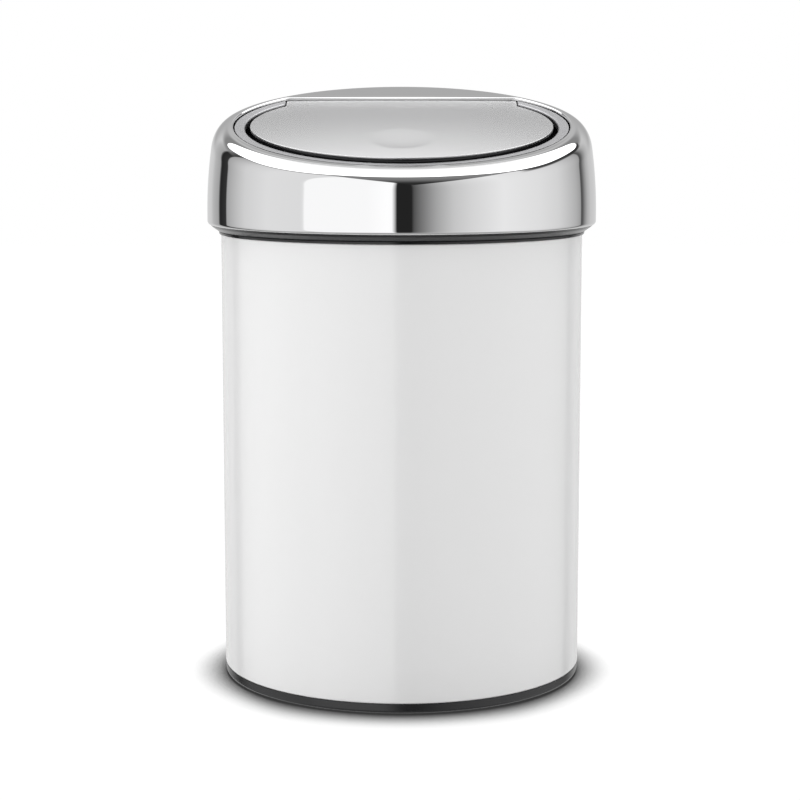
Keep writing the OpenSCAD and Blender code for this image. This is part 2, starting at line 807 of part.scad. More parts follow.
module lid_frame() {
  color("black")
  difference() {
    union() {
      frame_ring();
      throat();
      difference() {
        flap_ledge();
        latch_frame()
          block([-latch_w / 2 - 1, -latch_d / 2, -BIG], [latch_w / 2 + 1, latch_d / 2 + 2, BIG]);
      }
      ribs();
      hinge_brackets();
      latch_mount();
    }
    x_rod(pin_r + pin_gap / 2, -BIG / 4, BIG / 4, hinge_y, hinge_z);
    at_screws() front_rod(screw_r + pin_gap / 2, -CUT, screw_l + slide_gap);
    at_buffers() z_rod(buffer_stem + snug, -ledge_t - CUT, CUT);
  }
}

module stop_buffers() {
  color("dimgray") at_buffers() {
    z_rod(buffer_r, 0, slide_gap / 2);
    z_rod(buffer_stem, -ledge_t, slide_gap / 4);
    z_rod(buffer_r - 0.6, -ledge_t - buffer_h, -ledge_t);
  }
}

// ---- Hinge ----

module hinge_pin() {
  color("silver") x_rod(pin_r, -pin_end, pin_end, hinge_y, hinge_z);
}

module pin_clips() {
  color("darkgray")
  both_sides() difference() {
    x_rod(clip_r, clip_x, clip_x + clip_t, hinge_y, hinge_z);
    x_rod(pin_r + 0.02, bracket_x, pin_end, hinge_y, hinge_z);
  }
}

module hinge_spring() {
  echo(hinge_spring_gap = coil_gap(coil_path, hinge_wire_r, 5));
  color("gray") wire(hinge_path, hinge_wire_r, [1, 0, 0]);
}

// ---- Latch ----

module latch_housing() {
  slot = follower_r + 0.3;
  color("black") {
    difference() {
      latch_frame() {
        block([-latch_w / 2, -latch_d / 2, -latch_h], [latch_w / 2, latch_d / 2, 0]);
        translate([-lug_w, -latch_d / 2, -(latch_h + lug_h) / 2]) cube([2 * lug_w, lug_t, lug_h]);
      }
      latch_frame() {
        block([-cavity_w, -cavity_d, -cavity_h], [cavity_w, cavity_d, CUT]);
        block([-slot, -latch_d, 0.5 - cavity_h], [slot, CUT - cavity_d, 0.5 - pad_drop]);
      }
      at_screws() front_rod(screw_r + 0.25, -latch_d, CUT);
    }
    latch_frame() translate([0, spring_y, 0]) z_rod(spring_peg_r, -cavity_h, 1.2 - cavity_h);
  }
}

module latch_screws() {
  color("silver") at_screws() {
    front_rod(screw_r, -lug_t, screw_l);
    difference() {
      front_rod(screw_head_r, -lug_t - 1.5, -lug_t);
      for (turn = [0, 90])
        rotate([0, turn, 0]) block([-1.5, lug_t + 0.8, -0.3], [1.5, lug_t + 2, 0.3]);
    }
  }
}

// Heart-shaped track that holds the slider down, then lets it go
module cam_track() {
  low = 1 - cavity_h;
  top = -pad_low - 0.4;
  difference() {
    polygon([[-2.2, low], [2.2, low], [2.2, top - 1], [0.9, top], [-0.9, top], [-2.2, top - 1]]);
    polygon([
      [0, low + 1.1], [1.1, low + 2], [1.1, top - 2],
      [0, top - 1.3], [-1.1, top - 2], [-1.1, low + 2]
    ]);
  }
}

module latch_slider() {
  color("ivory")
  latch_frame() difference() {
    union() {
      block([-slider_w, -slider_d, -pad_low], [slider_w, slider_d, -pad_drop]);
      block([-4.4, cam_y, 0.4 - cavity_h], [4.4, cam_y + cam_wall, -pad_drop - pad_t / 2]);
      translate([0, spring_y, 0]) z_rod(spring_peg_r, -pad_low - 1, -pad_drop - pad_t / 2);
    }
    translate([0, cam_y + cam_groove, 0])
      rotate([90, 0, 0]) linear_extrude(cam_groove + CUT) cam_track();
  }
}

module latch_jaws() {
  hook_x = jaw_x - jaw_hook;
  root_x = jaw_x + jaw_t / 2;
  color("dimgray")
  latch_frame() both_sides() {
    block([jaw_x, -2.5, -pad_drop], [jaw_x + jaw_t, 2.5, -hook_top]);
    translate([0, 2.5, 0]) rotate([90, 0, 0]) linear_extrude(5) polygon([
      [hook_x, -hook_low], [root_x, -hook_low], [root_x, -hook_top], [hook_x + 1.2, -hook_top]
    ]);
  }
}

module latch_spring() {
  echo(latch_spring_gap = coil_gap(latch_path, latch_wire_r, 5));
  color("gray") latch_frame() wire(latch_path, latch_wire_r, [0, 0, 1]);
}

module cam_follower() {
  y = -cavity_d - snug - follower_r;
  high = -pad_low - 1.1;
  color("silver")
  latch_frame() translate([0, y, 0]) {
    z_rod(follower_r, 1.1 - cavity_h, high);
    translate([0, 0, high]) {
      sphere(follower_r, $fn = FINE);
      front_rod(follower_r, y + 0.15 - cam_y - cam_groove, 0);
    }
  }
}

// ---- Flap ----

module flap_cover() {
  r = flap_r;
  t = flap_sheet;
  q = flap_round;
  dish = (dimple_r * dimple_r + dimple_depth * dimple_depth) / (2 * dimple_depth);
  color("lightgray")
  flap_frame() {
    difference() {
      union() {
        intersection() {
          rotate_extrude() polygon(concat(
            [[0, -t]],
            arc([r - q, -q], q - t, 90, 0, 4),
            [[r - t, -flap_edge], [r, -flap_edge]],
            arc([r - q, -q], q, 0, 90, 6),
            [[0, 0]]
          ));
          translate([-BIG / 2, bend_y - BIG, -BIG / 2]) cube([BIG, BIG, BIG]);
        }
        intersection() {
          translate([0, -dimple_y, -t - dimple_depth]) cylinder(h = 2 * t, r = dimple_r + 1);
          translate([0, -dimple_y, dish - dimple_depth]) sphere(dish + t);
        }
      }
      translate([0, -dimple_y, dish - dimple_depth]) sphere(dish);
    }
    translate([0, bend_y, 0]) rotate([strip_bend, 0, 0])
      translate([-strip_w, -0.3, -t]) cube([2 * strip_w, strip_l + 0.3, t]);
  }
}

module liner_ribs() {
  for (x = [-40, -14, 14, 40]) {
    front = sqrt(pow(liner_r - 2, 2) - x * x);
    block(
      [x - rib_t / 2, -front, -liner_low - liner_rib_h],
      [x + rib_t / 2, liner_rear - 1, -liner_low + liner_t / 2]
    );
  }
}

module flap_liner() {
  hinge_plan = hinge_y / cos(flap_tilt);
  color("black")
  difference() {
    union() {
      flap_frame() {
        translate([0, 0, -liner_low]) linear_extrude(liner_t) d_outline(liner_r, liner_rear);
        translate([0, 0, -liner_h]) linear_extrude(liner_h - flap_sheet) difference() {
          d_outline(liner_r, liner_rear);
          d_outline(liner_r - liner_rim, liner_rear - liner_rim);
        }
        translate([0, 0, -liner_h]) linear_extrude(liner_h - flap_edge) difference() {
          d_outline(liner_face_r, liner_rear);
          d_outline(liner_r - liner_rim / 2, liner_rear + CUT);
        }
        liner_ribs();
        block(
          [-plate_w, -latch_plan - plate_d, -liner_low - boss_h],
          [plate_w, plate_d - latch_plan, -liner_low + liner_t / 2]
        );
      }
      both_sides() {
        x_rod(barrel_r, spring_gap, barrel_end, hinge_y, hinge_z);
        flap_frame()
          block([spring_gap, bend_y - 4, -liner_low], [barrel_end, hinge_plan, -liner_top]);
      }
    }
    x_rod(pin_r + pin_gap, -BIG / 4, BIG / 4, hinge_y, hinge_z);
    flap_frame() translate([0, -latch_plan, 0]) z_rod(screw_r + pin_gap, -liner_low - 2, CUT);
    // notch in the rear rim for the hinge spring's leg
    flap_frame() block(
      [leg_x - hinge_wire_d, liner_rear - liner_rim - 1, -liner_h - CUT],
      [leg_x + hinge_wire_d, liner_rear + CUT, -liner_low]
    );
  }
}

module striker() {
  stem_top = push_drop + slide_gap + striker_plate / 2;
  shoulder_z = -head_top - 0.9;
  plate_top = -liner_low - boss_h;
  color("ivory") {
    latch_frame() translate([0, striker_d / 2, 0])
      rotate([90, 0, 0]) linear_extrude(striker_d) both_sides() polygon([
        [0, stem_top], [stem_w, stem_top], [stem_w, -head_top], [head_w, -head_top],
        [head_w, shoulder_z], [1.6, -head_low], [0, -head_low]
      ]);
    flap_frame() block(
      [-plate_w, -latch_plan - plate_d, plate_top - striker_plate],
      [plate_w, plate_d - latch_plan, plate_top]
    );
  }
}

module striker_screw() {
  color("silver")
  flap_frame() translate([0, -latch_plan, 0])
    z_rod(screw_r, -liner_low - boss_h, -liner_top - 0.4);
}

body_shell();
bottom_plate();
base_foot();
grip_ring();
inner_bucket();
bucket_handle();
lid_cover();
flap_surround();
lid_frame();
hinge_pin();
pin_clips();
hinge_spring();
latch_housing();
latch_screws();
latch_spring();
cam_follower();
latch_slider();
latch_jaws();
stop_buffers();
flap_cover();
flap_liner();
striker();
striker_screw();
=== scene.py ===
# Looks of the push top countertop bin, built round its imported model.
# Sizes are in metres, in the model's own frame: +Z up, the front at -Y, the worktop at Z = 0.
import math

import bpy
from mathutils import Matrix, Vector


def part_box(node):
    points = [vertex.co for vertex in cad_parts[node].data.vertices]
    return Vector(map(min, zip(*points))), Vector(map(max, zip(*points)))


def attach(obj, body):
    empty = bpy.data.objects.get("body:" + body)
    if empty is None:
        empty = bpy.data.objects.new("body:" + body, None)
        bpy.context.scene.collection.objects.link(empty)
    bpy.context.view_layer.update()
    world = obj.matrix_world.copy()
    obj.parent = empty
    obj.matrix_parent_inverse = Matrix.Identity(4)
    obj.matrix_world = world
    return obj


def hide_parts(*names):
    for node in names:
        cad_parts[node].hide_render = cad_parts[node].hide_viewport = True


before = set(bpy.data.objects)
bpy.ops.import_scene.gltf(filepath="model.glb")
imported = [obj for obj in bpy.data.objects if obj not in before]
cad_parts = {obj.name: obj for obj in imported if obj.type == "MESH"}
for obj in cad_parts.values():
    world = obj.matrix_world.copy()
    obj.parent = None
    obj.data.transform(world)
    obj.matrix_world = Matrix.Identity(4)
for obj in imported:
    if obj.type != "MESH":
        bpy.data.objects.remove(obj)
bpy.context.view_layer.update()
mm = 0.001

# ---- Camera ----
# It stands where the photograph was taken from: a long lens at the lid's height, tilted a little
# down, so that the sloping flap shows from above.

CAMERA_PLACE = Vector((-0.0008, -1.0247, 0.2763))
CAMERA_PITCH = math.radians(8.02)
PHOTO_SIDE = 800
FOCAL_PIXELS = 2140.5

camera_data = bpy.data.cameras.new("camera")
camera_data.sensor_width = 36
camera_data.lens = FOCAL_PIXELS * camera_data.sensor_width / PHOTO_SIDE
camera = bpy.data.objects.new("camera", camera_data)
camera.location = CAMERA_PLACE
camera.rotation_euler = (math.pi / 2 - CAMERA_PITCH, 0, 0)
bpy.context.scene.collection.objects.link(camera)
bpy.context.scene.camera = camera

# ---- Studio ----
# A white worktop under a ring of plain panels and one soft box overhead. The panels' brightness
# runs round the horizon, and polished metal shows it as upright bands.

bpy.context.scene.view_settings.view_transform = "Standard"

# (degrees round from the camera, brightness): negative is to the camera's left
PANELS = [
    (-180, 0.74), (-152, 0.68), (-146, 0.54), (-136, 0.42), (-134.6, 0.02), (-125, 0.04),
    (-123.8, 0.44), (-104, 0.77), (-85, 0.89), (-59.2, 0.87), (-58.4, 1.17), (-20, 1.17),
    (-8, 1.24), (-4.5, 1.20), (-3.9, 0.02), (5.6, 0.02), (7.2, 0.11), (13, 0.26), (20, 0.46),
    (30, 0.69), (41, 0.82), (61, 0.99), (88, 0.90), (104, 0.80), (124, 0.52), (129.4, 0.40),
    (130.6, 0.09), (132.8, 0.11), (136, 0.29), (141, 0.50), (148, 0.64), (180, 0.74),
]
# brightness of what else the metal mirrors, and how much of the soft box fades
REAR_WALL = 0.46
REAR_HIGH = 0.27
REAR_GLOW = 0.85
GAP_DARK = 0.03
GAP_GREY = 0.26
SOFT_BOX = 2.6
FADED = 0.68
WORKTOP_MIRRORED = 0.42
# each span is where a smooth change starts and ends, here along a direction of length 1
REAR_NORTH, REAR_UP = (0.8, 0.92), (0.02, 0.22)
HIGH_NORTH, HIGH_UP = (0.45, 0.7), (0.43, 0.52)
WORKTOP_DOWN = (0.6, 0.85)
CEILING_UP = (0.3, 0.4)
LEAST_UP = 0.05
# from here on places are on a flat ceiling at height 1: to the right, and towards the rear
GLOW_ASIDE = (0.08, 0.32)
BOX_MIDDLE = (0.035, 0.665)
BOX_HALF = (0.965, 0.705)
BOX_EDGE = (-0.03, 0.02)
CORNER_FRONT, CORNER_REAR = 0.55, 0.22
RIM_NARROW, RIM_WIDE = 0.1, 0.4
RIM_WIDENS = (0.8, 1.3)
RIM_FADES = (0.7, 1.3)
RIM_LEFT, RIM_RIGHT = 0.75, 0.95
RIM_STRENGTHENS = (-0.6, 0.2)
WEDGE_TIP = (0.156, -1.18)
WEDGE_SLOPE = 1.88
WEDGE_EDGE = (-0.03, 0.03)
WEDGE_ENDS = (0, 0.1)
GREY_REARWARD = (-0.85, -0.15)
DARK_RIGHT = (0.6, 0.9)
FADED_REARWARD = (0.6, 1.1)
FADED_ASIDE = (0.15, 0.4)


def add_math(nodes, links, operation, *values):
    """Math node of a tree: each value is a socket or a number."""
    node = nodes.new("ShaderNodeMath")
    node.operation = operation
    for socket, value in zip(node.inputs, values):
        if isinstance(value, (int, float)):
            socket.default_value = value
        else:
            links.new(value, socket)
    return node.outputs[0]


def add_step(nodes, links, value, span, result):
    """Goes smoothly from the first to the second of result as value crosses span."""
    node = nodes.new("ShaderNodeMapRange")
    node.interpolation_type = "SMOOTHSTEP"
    for label, number in zip(("From Min", "From Max", "To Min", "To Max"), (*span, *result)):
        node.inputs[label].default_value = number
    links.new(value, node.inputs["Value"])
    return node.outputs["Result"]


def world_math(operation, *values):
    """Math node in the world's tree."""
    return add_math(world_nodes, world_links, operation, *values)


def world_step(value, span, result=(0, 1)):
    """Smooth change in the world's tree."""
    return add_step(world_nodes, world_links, value, span, result)


def world_mix(share, a, b):
    """a where share is 0 and b where it is 1."""
    return world_math("ADD", world_math("MULTIPLY", a, world_math("SUBTRACT", 1, share)),
                      world_math("MULTIPLY", b, share))


world = bpy.data.worlds.new("studio")
world.use_nodes = True
bpy.context.scene.world = world
world_nodes, world_links = world.node_tree.nodes, world.node_tree.links
world_nodes.clear()
sky = world_nodes.new("ShaderNodeTexCoord")
split = world_nodes.new("ShaderNodeSeparateXYZ")
world_links.new(sky.outputs["Generated"], split.inputs[0])
east, north, up = split.outputs
over_x, over_y = (world_math("DIVIDE", side, world_math("MAXIMUM", up, LEAST_UP))
                  for side in (east, north))
over_aside = world_math("ABSOLUTE", over_x)

turn = world_math("ARCTAN2", east, world_math("MULTIPLY", north, -1))
turn = world_math("ADD", world_math("DIVIDE", turn, 2 * math.pi), 0.5)
panels = world_nodes.new("ShaderNodeValToRGB")
stops = panels.color_ramp.elements
while len(stops) < len(PANELS):
    stops.new(0.5)
# a stop that is moved may change its number, so all are moved before any is coloured
for stop, panel in zip(stops, PANELS):
    stop.position = panel[0] / 360 + 0.5
for stop, panel in zip(stops, PANELS):
    stop.color = (panel[1], panel[1], panel[1], 1)
world_links.new(turn, panels.inputs[0])
ring = panels.outputs["Color"]

# behind the object the wall darkens upward but for a glow over the middle, and far down the
# worktop takes over
rear = world_math("MULTIPLY", world_step(north, REAR_NORTH), world_step(up, REAR_UP))
ring = world_mix(rear, ring, REAR_WALL)
rear_high = world_math("MULTIPLY", world_step(north, HIGH_NORTH), world_step(up, HIGH_UP))
ring = world_mix(rear_high, ring, world_step(over_aside, GLOW_ASIDE, (REAR_GLOW, REAR_HIGH)))
down = world_math("MULTIPLY", up, -1)
ring = world_mix(world_step(down, WORKTOP_DOWN), ring, WORKTOP_MIRRORED)

# how far a place on the ceiling lies from the soft box, a rectangle with its front corners well
# rounded
rear_half = world_math("GREATER_THAN", over_y, BOX_MIDDLE[1])
corner_round = world_mix(rear_half, CORNER_FRONT, CORNER_REAR)
squares = []
for over, middle, half in zip((over_x, over_y), BOX_MIDDLE, BOX_HALF):
    past = world_math("ABSOLUTE", world_math("SUBTRACT", over, middle))
    past = world_math("ADD", world_math("SUBTRACT", past, half), corner_round)
    squares.append(world_math("POWER", world_math("MAXIMUM", past, 0), 2))
from_box = world_math("SUBTRACT", world_math("SQRT", world_math("ADD", *squares)), corner_round)
overhead = world_step(up, CEILING_UP)

# a dark rim round the box, wide at its right, and a dark wedge that joins it to the front stripe
rim_reach = world_step(over_x, RIM_WIDENS, (RIM_NARROW, RIM_WIDE))
rim = world_step(world_math("DIVIDE", from_box, rim_reach), RIM_FADES, (1, 0))
rim = world_math("MULTIPLY", rim, world_step(over_x, RIM_STRENGTHENS, (RIM_LEFT, RIM_RIGHT)))
from_tip = world_math("ABSOLUTE", world_math("SUBTRACT", over_x, WEDGE_TIP[0]))
wedge_front = world_math("MULTIPLY_ADD", from_tip, WEDGE_SLOPE, WEDGE_TIP[1])
wedge = world_math("MULTIPLY", world_step(world_math("SUBTRACT", over_y, wedge_front), WEDGE_EDGE),
                   world_step(over_y, WEDGE_ENDS, (1, 0)))
gap = world_math("MULTIPLY", world_math("MAXIMUM", rim, wedge), overhead)
gap_bright = world_mix(world_step(over_x, DARK_RIGHT),
                       world_step(over_y, GREY_REARWARD, (GAP_DARK, GAP_GREY)), GAP_DARK)
ring = world_mix(gap, ring, gap_bright)

# the box itself: over the middle its far half fades
in_box = world_math("MULTIPLY", world_step(from_box, BOX_EDGE, (1, 0)), overhead)
faded = world_math("MULTIPLY", world_step(over_y, FADED_REARWARD),
                   world_step(over_aside, FADED_ASIDE, (FADED, 0)))
in_box = world_math("MULTIPLY", in_box, world_math("SUBTRACT", 1, faded))
ring = world_mix(in_box, ring, SOFT_BOX)

studio_light = world_nodes.new("ShaderNodeBackground")
world_links.new(ring, studio_light.inputs["Color"])
white_wall = world_nodes.new("ShaderNodeBackground")
white_wall.inputs["Color"].default_value = (1, 1, 1, 1)
seen = world_nodes.new("ShaderNodeLightPath")
either = world_nodes.new("ShaderNodeMixShader")
world_links.new(seen.outputs["Is Camera Ray"], either.inputs[0])
world_links.new(studio_light.outputs[0], either.inputs[1])
world_links.new(white_wall.outputs[0], either.inputs[2])
world_out = world_nodes.new("ShaderNodeOutputWorld")
world_links.new(either.outputs[0], world_out.inputs[0])
world.cycles.sampling_method = "MANUAL"
world.cycles.sample_map_resolution = 1024


def new_material(name):
    """Material with a bare Principled shader; gives the material, its nodes, links and shader."""
    material = bpy.data.materials.new(name)
    material.use_nodes = True
    nodes, links = material.node_tree.nodes, material.node_tree.links
    nodes.clear()
    shader = nodes.new("ShaderNodeBsdfPrincipled")
    output = nodes.new("ShaderNodeOutputMaterial")
    output.name = "output"
    links.new(shader.outputs[0], output.inputs[0])
    return material, nodes, links, shader


def new_object(name, points, faces):
    """Mesh object from points and faces."""
    mesh = bpy.data.meshes.new(name)
    mesh.from_pydata([tuple(p) for p in points], [], faces)
    mesh.validate()
    made = bpy.data.objects.new(name, mesh)
    bpy.context.scene.collection.objects.link(made)
    return made


FLOOR_HALF = 3.0
WORKTOP_PALE = (0.62, 0.62, 0.62, 1)
WORKTOP_WHITE = 1.05
SHADOW_REACH = 0.035
SHADOW_SPAN = (0.5, 0.93)
SHADOW_BRIGHT = 0.04
SHADOW_BESIDE = 0.1
BESIDE_FOOT = (0.05, 0.09)
FILLS = (("left_fill", 6.5, Vector((-1.6, -0.7, 0.6))),
         ("right_fill", 4.5, Vector((1.7, -0.4, 0.5))))
FILL_SIZE = 1.2
FILL_AIM = Vector((0, 0, 0.15))

floor = new_object("worktop", [
    (-FLOOR_HALF, -FLOOR_HALF, 0), (FLOOR_HALF, -FLOOR_HALF, 0),
    (FLOOR_HALF, FLOOR_HALF, 0), (-FLOOR_HALF, FLOOR_HALF, 0)], [(0, 1, 2, 3)])
floor_material, nodes, links, shader = new_material("white_worktop_painted_shadow")
shader.inputs["Base Color"].default_value = WORKTOP_PALE
shader.inputs["Roughness"].default_value = 1
shader.inputs["Specular IOR Level"].default_value = 0
# seen from the camera the worktop glows pure white, and its contact shadow is painted shade: the glow
# dims where ambient occlusion finds the foot near, and the painted shadow is tighter beside the foot
# than in front of it
near = nodes.new("ShaderNodeAmbientOcclusion")
near.inputs["Distance"].default_value = SHADOW_REACH
spot = nodes.new("ShaderNodeTexCoord")
spot_split = nodes.new("ShaderNodeSeparateXYZ")
links.new(spot.outputs["Object"], spot_split.inputs[0])
aside = add_math(nodes, links, "ABSOLUTE", spot_split.outputs["X"])
beside = add_step(nodes, links, aside, BESIDE_FOOT, (0, SHADOW_BESIDE))
lifted = add_math(nodes, links, "MULTIPLY_ADD", near.outputs["AO"], beside, near.outputs["AO"])
# painted shadow: the worktop's glow for the camera, dimmed round the foot by ambient occlusion
painted_shadow_glow = nodes.new("ShaderNodeEmission")
links.new(add_step(nodes, links, lifted, SHADOW_SPAN, (SHADOW_BRIGHT, WORKTOP_WHITE)),
          painted_shadow_glow.inputs["Strength"])
seen_floor = nodes.new("ShaderNodeLightPath")
either = nodes.new("ShaderNodeMixShader")
links.new(seen_floor.outputs["Is Camera Ray"], either.inputs[0])
links.new(shader.outputs[0], either.inputs[1])
links.new(painted_shadow_glow.outputs[0], either.inputs[2])
links.new(either.outputs[0], nodes["output"].inputs[0])
floor.data.materials.append(floor_material)
floor.visible_glossy = False
for name, watts, place in FILLS:
    lamp = bpy.data.lights.new(name, "AREA")
    lamp.shape = "DISK"
    lamp.size = FILL_SIZE
    lamp.energy = watts
    fill = bpy.data.objects.new(name, lamp)
    fill.location = place
    fill.rotation_euler = (FILL_AIM - place).to_track_quat("-Z", "Y").to_euler()
    fill.visible_glossy = False
    bpy.context.scene.collection.objects.link(fill)

# ---- Tube ----
# Rolled sheet steel with a welded seam at the rear, hemmed at the top and turned in at the foot,
# with gloss white enamel baked on. The enamel has a faint orange peel.

TUBE_LOW, TUBE_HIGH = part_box("body_shell")
TUBE_R = TUBE_HIGH.x
TUBE_SHEET = 0.7 * mm
TUBE_HEM = 6 * mm
TUBE_FLANGE = 6 * mm
HEM_ROLL = 0.45 * mm
FLANGE_BEND = 1.1 * mm
SEAM_HALF = math.radians(0.55)
SEAM_DEPTH = 0.12 * mm
TUBE_AROUND = 720
TUBE_ROWS = 12
ENAMEL = (0.86, 0.86, 0.86, 1)


def arc(centre, radius, start, end, steps=8):
    """Points (r, z) of an arc about centre, from start to end in degrees."""
    return [(centre[0] + radius * math.cos(math.radians(start + (end - start) * i / steps)),
             centre[1] + radius * math.sin(math.radians(start + (end - start) * i / steps)))
            for i in range(steps + 1)]


def turned(sections, directions):
    """Points and faces of closed outlines (r, z), one to each direction, joined round Z."""
    count = len(sections[0])
    points = [(r * math.cos(angle), r * math.sin(angle), z)
              for angle, section in zip(directions, sections) for r, z in section]
    faces = []
    for i in range(len(directions)):
        here, there = i * count, (i + 1) % len(directions) * count
        faces += [(here + k, there + k, there + (k + 1) % count, here + (k + 1) % count)
                  for k in range(count)]
    return points, faces


def smooth(piece, sharp=35):
    """Shades a piece smooth, with a crease wherever two faces meet at more than sharp degrees."""
    piece.data.shade_smooth()
    piece.data.set_sharp_from_angle(angle=math.radians(sharp))
    return piece


# uneven skin: fine noise as a height in metres, and a roughness that drifts
BROAD_NOISE = 22

surface_group = bpy.data.node_groups.new("uneven_skin", "ShaderNodeTree")
sockets = surface_group.interface
for label in ("Scale", "Height", "Roughness", "Drift"):
    sockets.new_socket(label, in_out="INPUT", socket_type="NodeSocketFloat")
for label in ("Height", "Roughness"):
    sockets.new_socket(label, in_out="OUTPUT", socket_type="NodeSocketFloat")
inner, wires = surface_group.nodes, surface_group.links
group_in, group_out = inner.new("NodeGroupInput"), inner.new("NodeGroupOutput")
place = inner.new("ShaderNodeTexCoord")
fine = inner.new("ShaderNodeTexNoise")
fine.inputs["Detail"].default_value = 3
wires.new(group_in.outputs["Scale"], fine.inputs["Scale"])
broad = inner.new("ShaderNodeTexNoise")
broad.inputs["Detail"].default_value = 4
broad.inputs["Scale"].default_value = BROAD_NOISE
for noise in (fine, broad):
    wires.new(place.outputs["Object"], noise.inputs["Vector"])
height = add_math(inner, wires, "MULTIPLY", fine.outputs["Fac"], group_in.outputs["Height"])
wires.new(height, group_out.inputs["Height"])
centred = add_math(inner, wires, "SUBTRACT", broad.outputs["Fac"], 0.5)
rough = add_math(inner, wires, "MULTIPLY_ADD", centred, group_in.outputs["Drift"],
                 group_in.outputs["Roughness"])
wires.new(rough, group_out.inputs["Roughness"])


def add_skin(nodes, links, shader, scale, height, rough, drift):
    """Gives a shader the uneven skin, and gives back its bump."""
    skin = nodes.new("ShaderNodeGroup")
    skin.node_tree = surface_group
    for label, value in (("Scale", scale), ("Height", height), ("Roughness", rough), ("Drift", drift)):
        skin.inputs[label].default_value = value
    bump = nodes.new("ShaderNodeBump")
    bump.inputs["Distance"].default_value = 1
    links.new(skin.outputs["Height"], bump.inputs["Height"])
    links.new(bump.outputs[0], shader.inputs["Normal"])
    links.new(skin.outputs["Roughness"], shader.inputs["Roughness"])
    return bump


def seam_dent(angle, r):
    """The outside of the weld at the rear lies a little low under the enamel."""
    off = abs(angle - math.pi / 2)
    return SEAM_DEPTH * max(0, 1 - off / SEAM_HALF) if r > TUBE_R - 0.1 * mm else 0


tube_section = (
    [(TUBE_R - TUBE_FLANGE, TUBE_LOW.z)]
    + arc((TUBE_R - FLANGE_BEND, TUBE_LOW.z + FLANGE_BEND), FLANGE_BEND, -90, 0)
    + [(TUBE_R, TUBE_LOW.z + (TUBE_HIGH.z - TUBE_LOW.z) * k / TUBE_ROWS) for k in range(1, TUBE_ROWS)]
    + arc((TUBE_R - HEM_ROLL, TUBE_HIGH.z - HEM_ROLL), HEM_ROLL, 0, 90, 5)
    + arc((TUBE_R - 2 * TUBE_SHEET + HEM_ROLL, TUBE_HIGH.z - HEM_ROLL), HEM_ROLL, 90, 180, 5)
    + [(TUBE_R - 2 * TUBE_SHEET, TUBE_HIGH.z - TUBE_HEM), (TUBE_R - TUBE_SHEET, TUBE_HIGH.z - TUBE_HEM),
       (TUBE_R - TUBE_SHEET, TUBE_LOW.z + TUBE_SHEET), (TUBE_R - TUBE_FLANGE, TUBE_LOW.z + TUBE_SHEET)]
)
directions = [2 * math.pi * i / TUBE_AROUND for i in range(TUBE_AROUND)]
sections = [[(r - seam_dent(angle, r), z) for r, z in tube_section] for angle in directions]
tube = smooth(new_object("enamel_tube", *turned(sections, directions)))

enamel, nodes, links, shader = new_material("white_enamel")
shader.inputs["Base Color"].default_value = ENAMEL
shader.inputs["Specular IOR Level"].default_value = 0.3
shader.inputs["Coat Weight"].default_value = 0.7
shader.inputs["Coat Roughness"].default_value = 0.03
add_skin(nodes, links, shader, scale=420, height=0.004 * mm, rough=0.22, drift=0.06)
tube.data.materials.append(enamel)
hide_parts("body_shell")
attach(tube, "body")

# ---- Foot ----
# A ring moulded in black plastic with ribs inside, pushed on under the tube's flange. A ring of
# rubber sits in a groove on its underside and keeps the bin from sliding.

FOOT_BLACK = (0.010, 0.010, 0.011)
RUBBER_BLACK = (0.03, 0.03, 0.03)


def skinned_material(name, colour, metallic, scale, height, rough, drift):
    """Material of one colour with the uneven skin."""
    material, nodes, links, shader = new_material(name)
    shader.inputs["Base Color"].default_value = (*colour, 1)
    shader.inputs["Metallic"].default_value = metallic
    add_skin(nodes, links, shader, scale, height, rough, drift)
    return material


def dress(material, *node_names):
    """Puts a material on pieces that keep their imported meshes."""
    for node_name in node_names:
        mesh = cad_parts[node_name].data
        mesh.materials.clear()
        mesh.materials.append(material)


material = skinned_material(
    "black_foot_plastic", FOOT_BLACK, metallic=0, scale=1500, height=0.008 * mm, rough=0.25, drift=0.1)
dress(material, "base_foot")
material = skinned_material(
    "dark_rubber", RUBBER_BLACK, metallic=0, scale=900, height=0.02 * mm, rough=0.7, drift=0.1)
dress(material, "grip_ring", "stop_buffers")

# ---- Bottom plate ----
# A disc pressed from galvanised sheet steel that closes the tube's foot from inside. A bead round
# it carries the bucket.

GALVANISED = (0.5, 0.51, 0.52)

material = skinned_material(
    "galvanised_sheet", GALVANISED, metallic=1, scale=160, height=0.02 * mm, rough=0.42, drift=0.3)
dress(material, "bottom_plate")

# ---- Bucket and handle ----
# The bucket is moulded in dark plastic with a fine sparked texture and a turned-down lip. Its bail
# is bent from bright steel wire and turns in two ears of the lip.

BUCKET_GREY = (0.05, 0.051, 0.053)
BRIGHT_WIRE = (0.66, 0.66, 0.67)

material = skinned_material(
    "dark_bucket_plastic", BUCKET_GREY, metallic=0, scale=1200, height=0.03 * mm, rough=0.42, drift=0.15)
dress(material, "inner_bucket")
material = skinned_material(
    "bright_steel_wire", BRIGHT_WIRE, metallic=1, scale=500, height=0.01 * mm, rough=0.2, drift=0.1)
dress(material, "bucket_handle")

# ---- Lid cover ----
# Drawn from one sheet of steel and polished: a wall that sweeps in, a rounded shoulder, and a
# sloping crown that is rolled down round the recess and in front of the rear crescent.

